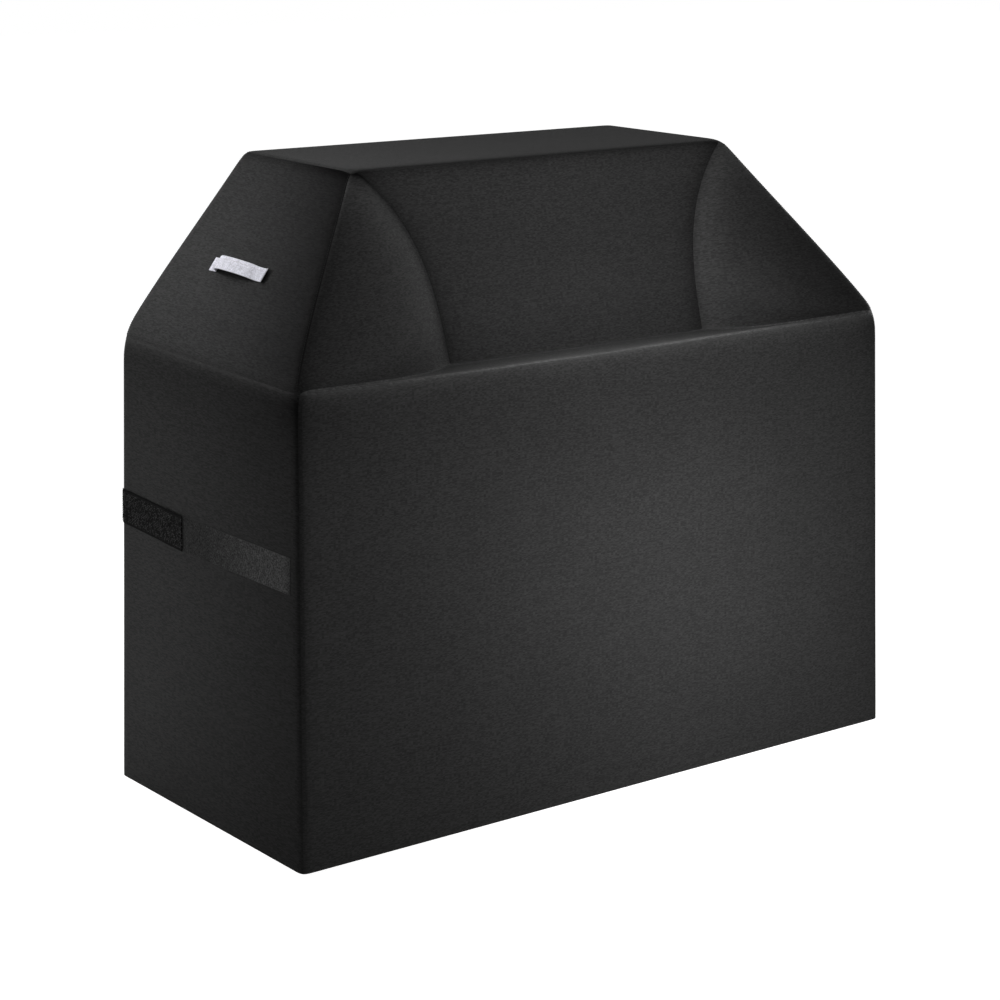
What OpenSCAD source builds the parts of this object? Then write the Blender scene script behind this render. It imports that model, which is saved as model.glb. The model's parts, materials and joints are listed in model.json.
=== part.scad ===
// Fitted fabric cover for a cart grill: a flared box with a hipped hood, a recessed front
// hood panel between two curved gussets, a webbing handle on each slope and a hook-and-loop
// strap on each side wall.
// Millimetres. The origin is at the middle of the hem, on the ground; the front faces -Y.

/* [Body] */
// Width across the shoulders
body_w = 1400; // [1200:10:1600]
// Depth from the front shoulder to the back shoulder
body_d = 611; // [560:1:680]
// Height of the shoulder line
shoulder_h = 874; // [780:1:940]
// How far each wall leans out from the shoulder to the hem
flare = 22; // [0:1:40]

/* [Hood] */
// Height of the top panel
top_h = 1222; // [1160:1:1300]
// Distance of the top panel in from each end
top_inset = 257; // [200:1:320]
// Distance of the top panel's front edge behind the front shoulder
front_set_back = 199; // [150:1:230]
// Distance of the top panel's back edge in front of the back shoulder
back_set_back = 53; // [20:1:90]
// Depth of the ledge behind the front shoulder
ledge_d = 94; // [60:1:110]
// Fall of the ledge from the shoulder to the hood panel
ledge_drop = 20; // [10:1:40]
// Distance of a gusset seam's foot from the end of the shoulder
seam_foot_in = 387; // [350:1:430]
// Width of a gusset where it meets the top panel
gusset_top_w = 12; // [6:1:30]
// How far a gusset bulges out between its seams
gusset_bulge = 28; // [0:1:30]

/* [Fabric] */
// Thickness of a fabric panel's solid
fabric_t = 2; // [1:0.5:3]
// Height of the turned hem inside the bottom edge
hem_h = 25; // [15:1:40]
// Thickness of the turned hem
hem_t = 1.5; // [0.5:0.5:3]

/* [Handles] */
// Width of the handle webbing
webbing_w = 28; // [20:1:34]
// Thickness of the handle webbing
webbing_t = 2; // [1:0.5:2.5]
// Length of a handle between the outer ends of its sewn tabs
handle_l = 181; // [160:1:230]
// Length of one sewn tab
tab_l = 27; // [20:1:36]
// Distance of the handle's middle up the slope from the shoulder
handle_up = 205; // [150:1:260]
// Distance of the handle's middle behind the middle of the cover
handle_back = 46; // [-20:1:100]
// Height of the handle's bow above the slope panel
bow_h = 20; // [16:1:28]

/* [Straps] */
// Width of the hook strap and the loop strip
strap_w = 68; // [40:1:80]
// Height of the strap's middle above the ground
strap_z = 546; // [300:1:700]
// Length of the hook strap that peels off
strap_l = 199; // [150:1:230]
// Length of the strap's sewn root
root_l = 24; // [16:1:30]
// Length of the sewn loop strip
loop_l = 434; // [300:1:440]
// Distance of the loop strip's front end from the front shoulder plane
loop_front = 21; // [12:1:40]

/* [Hidden] */

fabric_colour = [0.03, 0.03, 0.032];
webbing_colour = [0.6, 0.6, 0.64];
hook_colour = [0.02, 0.02, 0.02];
loop_colour = [0.07, 0.07, 0.075];

seam_rows = 14;
gusset_cols = 8;
arc_fn = 180;

// What is sewn flat to a panel lies this far off it.
sewn_gap = 0.02;

// Half sizes of the shoulder outline and of the hem.
half_w = body_w / 2;
half_d = body_d / 2;
hem_half_w = half_w + flare;
hem_half_d = half_d + flare;

slope_angle = atan2(top_h - shoulder_h, top_inset);
lean_angle = atan2(flare, shoulder_h);
hood_rise = top_h - shoulder_h + ledge_drop;
hood_angle = atan2(hood_rise, front_set_back - ledge_d);
back_angle = atan2(top_h - shoulder_h, back_set_back);

// How far the inside corner lies in from the outside corner where two panels meet, for
// panels of the fabric's thickness whose faces turn through an angle from level.
function mitre(angle) = fabric_t * (1 - cos(angle)) / sin(angle);

// A corner of the shell: the point on the outer face and its partner on the inner face.
function corner(outer, inward) = [outer, outer + inward];
function flip_point(p) = [-p.x, p.y, p.z];
function flip(c) = [flip_point(c[0]), flip_point(c[1])];
function between(a, b, u) = a + (b - a) * u;

shoulder_fall = fabric_t * (1 - sin(slope_angle)) / cos(slope_angle);
hem_front_left = corner([-hem_half_w, -hem_half_d, 0], [fabric_t, fabric_t, 0]);
hem_back_left = corner([-hem_half_w, hem_half_d, 0], [fabric_t, -fabric_t, 0]);
shoulder_front_left = corner(
    [-half_w, -half_d, shoulder_h], [fabric_t, fabric_t, -shoulder_fall]);
shoulder_back_left = corner(
    [-half_w, half_d, shoulder_h], [fabric_t, -fabric_t, -shoulder_fall]);
top_front_left = corner(
    [-half_w + top_inset, -half_d + front_set_back, top_h],
    [mitre(slope_angle), mitre(hood_angle), -fabric_t]);
top_back_left = corner(
    [-half_w + top_inset, half_d - back_set_back, top_h],
    [mitre(slope_angle), -mitre(back_angle), -fabric_t]);

// The curved seam between the left gusset and the front hood panel. It falls from the top
// edge in a cubic curve that ends upright at its foot, where u is 1.
seam_in_top = top_inset + gusset_top_w;
function seam_x(u) = -half_w + seam_in_top + (seam_foot_in - seam_in_top) * (1 - pow(1 - u, 3));
function seam(u) = corner(
    [seam_x(u), -half_d + between(front_set_back, ledge_d, u), between(top_h, top_h - hood_rise, u)],
    between([0, mitre(hood_angle), -fabric_t], [0, 0.7 * fabric_t, -1.17 * fabric_t], u));
function hip(u) = between(top_front_left, shoulder_front_left, u);
function back_hip(u) = between(top_back_left, shoulder_back_left, u);

// The way that the left gusset faces, along which it bulges.
gusset_normal = [0.24, -0.91, 0.34];
function gusset_point(u, w) =
    between(hip(u), seam(u), w)
    + [for (side = [0:1]) gusset_normal * gusset_bulge * sin(180 * u) * sin(180 * w)];

// The wall of a panel along a seam is a strip of four-cornered pieces. Which way each one is
// cut into triangles goes by place, so that two panels that share a seam cut it alike.
function rank(p) = abs(p.x) + 2 * p.y + 3 * p.z;

// A panel between its outer and its inner face. The rows of corners run down it and the
// columns run to the right, as seen from outside.
module panel(grid) {
    rows = len(grid);
    cols = len(grid[0]);
    count = rows * cols;
    points = [for (face = [0:1]) for (row = grid) for (c = row) c[face]];
    function at(r, c) = r * cols + c;
    edge = concat(
        [for (c = [0:cols - 2]) at(0, c)],
        [for (r = [0:rows - 2]) at(r, cols - 1)],
        [for (c = [cols - 1:-1:1]) at(rows - 1, c)],
        [for (r = [rows - 1:-1:1]) at(r, 0)]);
    outer_face = [
        for (r = [0:rows - 2]) for (c = [0:cols - 2]) each [
            [at(r, c), at(r, c + 1), at(r + 1, c + 1)],
            [at(r, c), at(r + 1, c + 1), at(r + 1, c)]]];
    inner_face = [for (f = outer_face) [f[2] + count, f[1] + count, f[0] + count]];
    walls = [
        for (i = [0:len(edge) - 1])
            let (p = edge[i], q = edge[(i + 1) % len(edge)])
            each rank(points[p]) < rank(points[q])
                ? [[p, p + count, q + count], [p, q + count, q]]
                : [[p, p + count, q], [q, p + count, q + count]]];
    polyhedron(points = points, faces = concat(outer_face, inner_face, walls), convexity = 4);
}

module mirrored() {
    mirror([1, 0, 0])
        children();
}

module top_panel() {
    color(fabric_colour)
        panel([[top_back_left, flip(top_back_left)], [top_front_left, flip(top_front_left)]]);
}

module front_hood_panel() {
    color(fabric_colour)
        panel([for (r = [0:seam_rows]) [seam(r / seam_rows), flip(seam(r / seam_rows))]]);
}

module left_gusset() {
    color(fabric_colour)
        panel([
            for (r = [0:seam_rows])
                [for (c = [0:gusset_cols]) gusset_point(r / seam_rows, c / gusset_cols)]]);
}

module front_ledge() {
    color(fabric_colour)
        panel([
            for (c = [gusset_cols:-1:0])
                let (side = between(hip(1), seam(1), c / gusset_cols))
                [side, flip(side)]]);
}

module left_slope() {
    color(fabric_colour)
        panel([for (r = [0:seam_rows]) [back_hip(r / seam_rows), hip(r / seam_rows)]]);
}

module back_upper_panel() {
    color(fabric_colour)
        panel([for (r = [0:seam_rows]) [flip(back_hip(r / seam_rows)), back_hip(r / seam_rows)]]);
}

module front_lower_panel() {
    color(fabric_colour)
        panel([
            [shoulder_front_left, flip(shoulder_front_left)],
            [hem_front_left, flip(hem_front_left)]]);
}

module back_lower_panel() {
    color(fabric_colour)
        panel([
            [flip(shoulder_back_left), shoulder_back_left],
            [flip(hem_back_left), hem_back_left]]);
}

module left_side() {
    color(fabric_colour)
        panel([[shoulder_back_left, shoulder_front_left], [hem_back_left, hem_front_left]]);
}

// A corner of the turned hem at a height: it lies against the inside of the walls' corner.
function hem_corner(low, high, z, inward) =
    let (wall_inside = between(low[1], high[1], z / high[1].z) + inward * sewn_gap)
    corner(wall_inside, inward * hem_t);
function front_left_hem(z) = hem_corner(hem_front_left, shoulder_front_left, z, [1, 1, 0]);
function back_left_hem(z) = hem_corner(hem_back_left, shoulder_back_left, z, [1, -1, 0]);

module left_hem_strip() {
    color(fabric_colour)
        panel([for (z = [hem_h, 0]) [back_left_hem(z), front_left_hem(z)]]);
}

module front_hem_strip() {
    color(fabric_colour)
        panel([for (z = [hem_h, 0]) [front_left_hem(z), flip(front_left_hem(z))]]);
}

module back_hem_strip() {
    color(fabric_colour)
        panel([for (z = [hem_h, 0]) [flip(back_left_hem(z)), back_left_hem(z)]]);
}

// Places what it holds on the left slope panel: X runs up the slope, Y to the back and Z
// out of the panel, from the middle of the handle.
module on_left_slope() {
    translate([
        -half_w + handle_up * cos(slope_angle),
        handle_back,
        shoulder_h + handle_up * sin(slope_angle)])
        rotate([0, -slope_angle, 0])
            children();
}

// Extrudes an outline drawn along the handle, with Z out of the panel, over the webbing.
module across_webbing() {
    translate([-webbing_w / 2, 0, 0])
        rotate([90, 0, 90])
            linear_extrude(webbing_w)
                children();
}

// The handle's loop pivots this far above the panel, so that its edges clear the panel.
pivot_h = 6;
pivot_gap = 0.4;
half_span = handle_l / 2 - tab_l - pivot_gap;
bow_rise = bow_h - pivot_h - webbing_t / 2;
bow_r = (half_span * half_span + bow_rise * bow_rise) / (2 * bow_rise);

module left_loop() {
    color(webbing_colour)
        on_left_slope()
            across_webbing()
                intersection() {
                    translate([0, pivot_h + bow_rise - bow_r])
                        difference() {
                            circle(r = bow_r + webbing_t / 2, $fn = arc_fn);
                            circle(r = bow_r - webbing_t / 2, $fn = arc_fn);
                        }
                    translate([-half_span, 0])
                        square([2 * half_span, bow_h + webbing_t]);
                }
}

// The sewn tab lies on the panel and turns up where the loop starts.
module tab_outline() {
    riser_h = pivot_h + webbing_t / 2;
    translate([-handle_l / 2, 0])
        polygon([
            [0, sewn_gap], [tab_l, sewn_gap], [tab_l, riser_h],
            [tab_l - webbing_t, riser_h], [tab_l - 2 * webbing_t, webbing_t], [0, webbing_t]]);
}

module left_front_tab() {
    color(webbing_colour)
        on_left_slope()
            across_webbing()
                tab_outline();
}

module left_rear_tab() {
    color(webbing_colour)
        on_left_slope()
            across_webbing()
                mirror([1, 0])
                    tab_outline();
}

// Places what it holds on the left side wall at the strap's height: X runs up the wall, Y to
// the back and Z out of the wall.
module on_left_wall() {
    translate([-half_w - flare * (shoulder_h - strap_z) / shoulder_h, 0, strap_z])
        rotate([0, lean_angle - 90, 0])
            children();
}

loop_t = 1.5;
strap_t = 2;
strap_lift = 2;
root_gap = 1.1;
root_back_y = half_d + 6.5;
root_front_y = root_back_y - root_l;
strap_back_y = root_front_y - root_gap;

module strap_piece(front_y, length, low, thickness) {
    on_left_wall()
        translate([-strap_w / 2, front_y, low])
            cube([strap_w, length, thickness]);
}

module left_strap() {
    color(hook_colour)
        strap_piece(strap_back_y - strap_l, strap_l, strap_lift, strap_t);
}

module left_root() {
    color(hook_colour)
        strap_piece(root_front_y, root_l, sewn_gap, strap_lift + strap_t - sewn_gap);
}

module left_loop_tape() {
    color(loop_colour)
        strap_piece(-half_d + loop_front, loop_l, sewn_gap, loop_t);
}

top_panel();
front_hood_panel();
left_gusset();  // front_left_gusset
mirrored() left_gusset();  // front_right_gusset
front_ledge();
left_slope();  // left_slope_panel
mirrored() left_slope();  // right_slope_panel
back_upper_panel();
front_lower_panel();
back_lower_panel();
left_side();  // left_side_panel
mirrored() left_side();  // right_side_panel
front_hem_strip();  // front_hem
back_hem_strip();  // back_hem
left_hem_strip();  // left_hem
mirrored() left_hem_strip();  // right_hem
left_loop();  // left_handle_loop
left_front_tab();  // left_handle_front_tab
left_rear_tab();  // left_handle_rear_tab
mirrored() left_loop();  // right_handle_loop
mirrored() left_front_tab();  // right_handle_front_tab
mirrored() left_rear_tab();  // right_handle_rear_tab
left_strap();  // left_hook_strap
left_root();  // left_strap_root
left_loop_tape();  // left_loop_strip
mirrored() left_strap();  // right_hook_strap
mirrored() left_root();  // right_strap_root
mirrored() left_loop_tape();  // right_loop_strip
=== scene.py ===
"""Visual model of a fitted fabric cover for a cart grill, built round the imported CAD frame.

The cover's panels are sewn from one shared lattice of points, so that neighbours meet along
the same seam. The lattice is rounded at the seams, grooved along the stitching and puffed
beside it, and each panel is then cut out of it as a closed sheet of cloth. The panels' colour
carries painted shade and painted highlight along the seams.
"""
import json
import math

import bpy
import numpy as np
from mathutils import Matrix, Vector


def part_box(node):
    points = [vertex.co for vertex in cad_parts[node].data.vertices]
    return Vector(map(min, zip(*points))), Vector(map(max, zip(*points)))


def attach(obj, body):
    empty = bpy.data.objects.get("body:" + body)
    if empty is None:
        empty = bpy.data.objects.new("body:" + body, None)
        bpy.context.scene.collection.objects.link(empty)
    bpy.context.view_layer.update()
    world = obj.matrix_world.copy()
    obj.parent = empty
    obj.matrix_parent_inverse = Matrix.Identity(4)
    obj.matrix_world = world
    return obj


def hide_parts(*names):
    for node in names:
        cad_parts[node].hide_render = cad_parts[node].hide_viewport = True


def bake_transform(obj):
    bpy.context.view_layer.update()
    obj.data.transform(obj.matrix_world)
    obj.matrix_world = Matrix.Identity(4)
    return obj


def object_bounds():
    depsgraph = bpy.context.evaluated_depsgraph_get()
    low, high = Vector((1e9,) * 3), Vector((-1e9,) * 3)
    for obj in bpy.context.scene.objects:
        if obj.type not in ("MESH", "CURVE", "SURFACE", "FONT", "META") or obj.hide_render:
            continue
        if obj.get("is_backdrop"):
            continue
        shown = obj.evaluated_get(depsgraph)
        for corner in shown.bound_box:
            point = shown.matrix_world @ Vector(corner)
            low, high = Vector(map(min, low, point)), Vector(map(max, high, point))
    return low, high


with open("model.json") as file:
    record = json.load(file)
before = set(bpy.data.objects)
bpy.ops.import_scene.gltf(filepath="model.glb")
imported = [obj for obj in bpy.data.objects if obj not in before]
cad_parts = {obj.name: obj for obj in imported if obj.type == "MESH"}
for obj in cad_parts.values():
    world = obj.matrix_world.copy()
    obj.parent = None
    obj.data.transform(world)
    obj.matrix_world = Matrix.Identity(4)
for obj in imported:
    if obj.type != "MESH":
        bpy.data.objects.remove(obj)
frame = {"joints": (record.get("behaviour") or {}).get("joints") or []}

CAD_LOW, CAD_HIGH = (list(corner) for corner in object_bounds())
RNG = np.random.default_rng(7)

# -------- sizes, in metres


def low(node):
    return np.array(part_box(node)[0], float)


def high(node):
    return np.array(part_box(node)[1], float)


HEM_X, HEM_Y = CAD_HIGH[0], CAD_HIGH[1]
TOP_Z = CAD_HIGH[2]
SHOULDER_X = high("back_upper_panel")[0]
SHOULDER_Y = high("left_slope_panel")[1]
SHOULDER_Z = high("front_lower_panel")[2]
TOP_X = high("top_panel")[0]
TOP_FRONT_Y = low("top_panel")[1]
TOP_BACK_Y = high("top_panel")[1]
SEAM_FOOT_INSET = 0.005  # the curved seam's foot lies this far inside the gusset's inner edge
SEAM_FOOT_X = -high("front_left_gusset")[0] - SEAM_FOOT_INSET
SEAM_TOP_X = high("front_hood_panel")[0]
SEAM_FOOT_Y = low("front_hood_panel")[1]
SEAM_FOOT_DROP = 0.012  # and this far below the shoulder
SEAM_FOOT_Z = SHOULDER_Z - SEAM_FOOT_DROP
HEM_HEIGHT = high("front_hem")[2]

CLOTH = 0.0008  # thickness of the fabric
ROUNDING = 0.0060  # how far the corners' rounding spreads
EASE = 0.0050  # how far the cloth stands off the CAD's planes, which makes up for the rounding
CLEARANCE = 0.0003  # the gap between two cloths that lie on each other

# -------- the lattice of points

STEP = 0.016  # spacing of the lattice away from the seams
SEAM_STEPS = (0.0012, 0.0026, 0.0044, 0.0066, 0.0094, 0.0130, 0.0178, 0.0244, 0.0338)


def graded(length, end=True):
    """Fractions from 0 to 1 along a length that starts at a seam, and may end at one. They
    are close together near a seam."""
    near = np.array(SEAM_STEPS)
    last = length - (near[-1] if end else 0.0)
    middle = np.linspace(near[-1], last, max(2, round((last - near[-1]) / STEP)) + 1)
    parts = [[0.0], near[:-1], middle]
    if end:
        parts += [length - near[-2::-1], [length]]
    return np.concatenate(parts) / length


def between(a, b, u):
    """The points at these fractions u of the way from a to b."""
    u = np.asarray(u)[..., None]
    return a + (b - a) * u


def flip(points):
    """The same points on the other side of the cover."""
    return points * np.array([-1.0, 1.0, 1.0])


HEM_FRONT = np.array([-HEM_X, -HEM_Y, 0.0])
HEM_BACK = np.array([-HEM_X, HEM_Y, 0.0])
SHOULDER_FRONT = np.array([-SHOULDER_X, -SHOULDER_Y, SHOULDER_Z])
SHOULDER_BACK = np.array([-SHOULDER_X, SHOULDER_Y, SHOULDER_Z])
TOP_FRONT = np.array([-TOP_X, TOP_FRONT_Y, TOP_Z])
TOP_BACK = np.array([-TOP_X, TOP_BACK_Y, TOP_Z])


SEAM_BEND = 3  # how soon the curved seam turns down, as a power


def seam_curve(u):
    """The curved seam on the left of the front hood panel, from the top to its foot."""
    x = -SEAM_TOP_X + (SEAM_TOP_X - SEAM_FOOT_X) * (1 - (1 - u) ** SEAM_BEND)
    y = TOP_FRONT_Y + (SEAM_FOOT_Y - TOP_FRONT_Y) * u
    z = TOP_Z + (SEAM_FOOT_Z - TOP_Z) * u
    return np.stack([x, y, z], axis=-1)


HOOD_SPREAD = 0.3  # how much wider than at its foot the hood panel is taken to be
ACROSS = graded(2 * SEAM_FOOT_X + HOOD_SPREAD)
DEEP = graded(2 * SHOULDER_Y)
DOWN_HOOD = graded(np.linalg.norm(SHOULDER_BACK - TOP_BACK))
DOWN_WALL = graded(SHOULDER_Z, end=False)
OVER_GUSSET = graded(SHOULDER_X - SEAM_FOOT_X)

HIP = between(TOP_FRONT, SHOULDER_FRONT, DOWN_HOOD)
BACK_HIP = between(TOP_BACK, SHOULDER_BACK, DOWN_HOOD)
SEAM = seam_curve(DOWN_HOOD)
GUSSET_BULGE = 0.036
GUSSET_NORMAL = np.array([0.24, -0.91, 0.34])
SWELL_SCALE = 1.6  # makes the swell about 1 at its fullest
SWELL_LEAN = 1.6  # how much fuller the gusset is next to its curved seam than next to the hip
SWELL_NARROWING = 0.7  # how fast the swell lessens as the gusset narrows, as a power
FOOT_SQUARENESS = 8  # how near its foot the gusset stops swelling upwards, as a power


def gusset_grid():
    """The left gusset: ruled between the hip and the curved seam, and swollen outwards."""
    u = DOWN_HOOD[:, None]
    w = OVER_GUSSET[None, :]
    flat = ruled(HIP, SEAM, OVER_GUSSET)
    width = np.linalg.norm(SEAM - HIP, axis=1)[:, None] / (SHOULDER_X - SEAM_FOOT_X)
    swell = SWELL_SCALE * w * (1 - w) * (1 + SWELL_LEAN * w) * width ** SWELL_NARROWING
    way = np.broadcast_to(GUSSET_NORMAL, flat.shape).copy()
    way[..., 2] *= 1 - u ** FOOT_SQUARENESS
    return flat + GUSSET_BULGE * swell[..., None] * way


def ruled(first, second, fractions):
    """A grid whose rows run from each point of one line to its partner on the other."""
    return first[:, None] + (second - first)[:, None] * np.asarray(fractions)[None, :, None]


def hung(upper, lower, fractions):
    """A grid whose columns run from each point of one line down to its partner on the other."""
    return upper + (lower - upper) * fractions[:, None, None]


GUSSET = gusset_grid()
FORWARD = 1 - DEEP[::-1]
HOOD_TOP = between(SEAM[0], flip(SEAM[0]), ACROSS)
TOP_EDGE = np.concatenate([GUSSET[0], HOOD_TOP[1:], flip(GUSSET[0])[::-1][1:]])
WIDE = (TOP_EDGE[:, 0] + TOP_X) / (2 * TOP_X)
SLOPE = ruled(BACK_HIP, HIP, FORWARD)
SIDE = hung(SLOPE[-1], between(HEM_BACK, HEM_FRONT, FORWARD), DOWN_WALL)
LEDGE = ruled(GUSSET[-1], flip(GUSSET[-1]), ACROSS)[::-1]
FRONT = hung(LEDGE[-1], between(HEM_FRONT, flip(HEM_FRONT), ACROSS), DOWN_WALL)
BACK_UPPER = ruled(flip(BACK_HIP), BACK_HIP, WIDE)
BACK_LOWER = hung(BACK_UPPER[-1], between(flip(HEM_BACK), HEM_BACK, WIDE), DOWN_WALL)
TOP = hung(BACK_UPPER[0][::-1], TOP_EDGE, FORWARD)

# Rows run down each panel and columns to the right, as seen from outside.
GRIDS = {
    "top_panel": TOP,
    "front_hood_panel": ruled(SEAM, flip(SEAM), ACROSS),
    "front_left_gusset": GUSSET,
    "front_right_gusset": flip(GUSSET)[:, ::-1],
    "front_ledge": LEDGE,
    "left_slope_panel": SLOPE,
    "right_slope_panel": flip(SLOPE)[:, ::-1],
    "back_upper_panel": BACK_UPPER,
    "front_lower_panel": FRONT,
    "back_lower_panel": BACK_LOWER,
    "left_side_panel": SIDE,
    "right_side_panel": flip(SIDE)[:, ::-1],
}


SAME_POINT = 1e-6  # points this close are one point


def join(grids):
    """The grids' points with those shared along the seams made one, and each grid's indices."""
    every = np.concatenate([g.reshape(-1, 3) for g in grids.values()])
    keys = np.round(every / SAME_POINT).astype(np.int64)
    _, first, index = np.unique(keys, axis=0, return_index=True, return_inverse=True)
    index = index.reshape(-1)
    ids, start = {}, 0
    for name, g in grids.items():
        count = g.shape[0] * g.shape[1]
        ids[name] = index[start:start + count].reshape(g.shape[:2])
        start += count
    return every[first], ids


POINTS, IDS = join(GRIDS)
QUADS = np.concatenate([
    np.stack([i[:-1, :-1], i[:-1, 1:], i[1:, 1:], i[1:, :-1]], axis=-1).reshape(-1, 4)
    for i in IDS.values()])


SPREAD_STEPS = 3  # steps of time that the rounding is worked out in
SOLVER_ROUNDS = 160
SOLVER_ERROR = 1e-16
SHORTEST_EDGE = 1e-5


def spread(points, quads, reach, softness, pinned):
    """Lets the points diffuse over the surface, which rounds every corner by about reach, or
    by more where softness, a factor for each point, is above 1."""
    a, b, c, d = (points[quads[:, k]] for k in range(4))
    wide = (np.linalg.norm(b - a, axis=1) + np.linalg.norm(c - d, axis=1)) / 2
    tall = (np.linalg.norm(d - a, axis=1) + np.linalg.norm(c - b, axis=1)) / 2
    ends, weights = [], []
    for p, q, dual in ((0, 1, tall), (3, 2, tall), (0, 3, wide), (1, 2, wide)):
        gap = np.linalg.norm(points[quads[:, p]] - points[quads[:, q]], axis=1)
        ends.append(quads[:, [p, q]])
        weights.append(dual / 2 / np.maximum(gap, SHORTEST_EDGE))
    ends, weights = np.concatenate(ends), np.concatenate(weights)
    weights = weights * softness[ends].mean(axis=1) ** 2
    count = len(points)
    mass = sum(np.bincount(quads[:, k], wide * tall / 4, count) for k in range(4))
    time = reach ** 2 / 2 / SPREAD_STEPS
    degree = sum(np.bincount(ends[:, k], weights, count) for k in range(2))
    diagonal = mass + time * degree

    def apply(x):
        flow = (x[ends[:, 0]] - x[ends[:, 1]]) * (weights * time)
        gained = mass * x + np.bincount(ends[:, 0], flow, count)
        return gained - np.bincount(ends[:, 1], flow, count)

    result = points.copy()
    for axis in range(3):
        free = ~pinned[:, axis]
        x = result[:, axis].copy()
        for _ in range(SPREAD_STEPS):
            goal = mass * x
            residual = (goal - apply(x)) * free
            ready = residual / diagonal
            way, energy = ready.copy(), residual @ ready
            for _ in range(SOLVER_ROUNDS):
                if energy < SOLVER_ERROR * count * mass.mean():
                    break
                applied = apply(way) * free
                length = energy / (way @ applied)
                x += length * way
                residual -= length * applied
                ready = residual / diagonal
                fresh = residual @ ready
                way = ready + way * (fresh / energy)
                energy = fresh
        result[:, axis] = x
    return result


def normals_of(points, quads):
    """The way out of the surface at each point."""
    across = points[quads[:, 2]] - points[quads[:, 0]]
    other = points[quads[:, 3]] - points[quads[:, 1]]
    facing = np.cross(other, across)
    total = np.stack([
        sum(np.bincount(quads[:, k], facing[:, axis], len(points)) for k in range(4))
        for axis in range(3)], axis=1)
    return total / np.linalg.norm(total, axis=1)[:, None]


def distance_to_line(points, line):
    """How far each point is from an open line of points, measured straight."""
    best = np.full(len(points), np.inf)
    for start, end in zip(line[:-1], line[1:]):
        way = end - start
        t = np.clip((points - start) @ way / (way @ way), 0, 1)
        best = np.minimum(best, np.linalg.norm(points - start - t[:, None] * way, axis=1))
    return best


def border(panel, side, inset=0):
    """The indices along one side of a panel, this many lattice lines in from its edges."""
    rows, cols = IDS[panel].shape
    ids = IDS[panel][inset:rows - inset, inset:cols - inset]
    return {"first": ids[0], "last": ids[-1], "left": ids[:, 0], "right": ids[:, -1]}[side]


# Each seam's panel and side, how deep its stitching is pressed in and how softly its corner
# is rounded.
SEAMS = {
    "left_fore_corner": ("front_lower_panel", "left", 0.15, 1.8),
    "right_fore_corner": ("front_lower_panel", "right", 0.15, 1.8),
    "left_rear_corner": ("back_lower_panel", "right", 0.3, 1.6),
    "right_rear_corner": ("back_lower_panel", "left", 0.3, 1.6),
    "front_shoulder": ("front_lower_panel", "first", 0.0, 3.0),
    "back_shoulder": ("back_lower_panel", "first", 0.4, 2.6),
    "left_shoulder": ("left_side_panel", "first", 0.0, 2.8),
    "right_shoulder": ("right_side_panel", "first", 0.0, 1.8),
    "left_fore_hip": ("left_slope_panel", "right", 0.12, 2.8),
    "right_fore_hip": ("right_slope_panel", "left", 0.12, 2.8),
    "left_rear_hip": ("left_slope_panel", "left", 0.4, 1.3),
    "right_rear_hip": ("right_slope_panel", "right", 0.4, 1.3),
    "top_front": ("top_panel", "last", 0.3, 1.8),
    "top_back": ("top_panel", "first", 0.4, 1.5),
    "top_left": ("top_panel", "left", 0.4, 1.7),
    "top_right": ("top_panel", "right", 0.4, 1.7),
    "left_gusset_seam": ("front_left_gusset", "right", 0.35, 1.8),
    "right_gusset_seam": ("front_right_gusset", "left", 0.45, 1.4),
    "ledge_back": ("front_hood_panel", "last", 0.4, 1.0),
}
SEAM_REACH = 0.62  # no seam acts on points further away than this
GROOVE_DEPTH, GROOVE_WIDTH = 0.0013, 0.0035
PUFF_HEIGHT, PUFF_WIDTH = 0.0010, 0.016
SOFT_WIDTH = 0.03

# Painted shade and painted highlight: each kind of panel is darker, a painted shade, or below 0
# paler, a painted highlight, by this share along a kind of seam, over a band of this width in
# metres. The widest bands paint the fall of light across a whole panel.
PAINTED_SHADES = {
    "side_panel": (("fore_corner", 0.40, 0.300), ("left_shoulder", -0.85, 0.014),
                   ("right_shoulder", -0.85, 0.014), ("shoulder", 0.24, 0.120),
                   ("fore_hip", 0.34, 0.050)),
    "front_lower_panel": (("corner", 0.24, 0.020), ("front_shoulder", -0.90, 0.020),
                          ("fore_hip", 0.50, 0.070)),
    "front_ledge": (("front_shoulder", -1.90, 0.090), ("fore_hip", 1.30, 0.240)),
    "back_lower_panel": (("corner", 0.26, 0.016), ("shoulder", 0.35, 0.012)),
    "back_upper_panel": (("hip", 0.40, 0.018), ("top", 0.40, 0.018)),
    "slope_panel": (("fore_hip", 0.76, 0.270), ("shoulder", -0.35, 0.024), ("top", 0.28, 0.018)),
    "left_gusset": (("fore_hip", 0.28, 0.100), ("fore_hip", 0.20, 0.032),
                    ("gusset_seam", -1.50, 0.055), ("gusset_seam", 1.75, 0.021),
                    ("top", 0.50, 0.034)),
    "right_gusset": (("fore_hip", 0.55, 0.150), ("gusset_seam", -0.75, 0.040),
                     ("gusset_seam", 0.70, 0.014), ("top", -0.60, 0.130)),
    "front_hood_panel": (("gusset_seam", 0.44, 0.026), ("top", 0.40, 0.016)),
    "top_panel": (("top_front", 0.38, 0.018), ("top_left", 0.16, 0.014),
                  ("top_right", 0.16, 0.014)),
}
SHADE_FADE = 1.3  # how squarely a band of painted shade or highlight ends, as a power
# the most painted shade that may be taken off the colour
DARKEST = 0.9

FULLNESS, FULLNESS_SPREAD = 0.014, 0.7  # half way up the hood, and the power that widens it
TOP_FULLNESS, TOP_NEARNESS = 0.013, 4  # at the hood's top, and the power that keeps it there
LIFTED, RIDE_UP, RIDE_UP_LESS = 0.002, 0.014, 0.005  # all round, at the back left, less on top
LIFT_NEARNESS = 4  # the power that keeps the lift away from the hem


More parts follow.
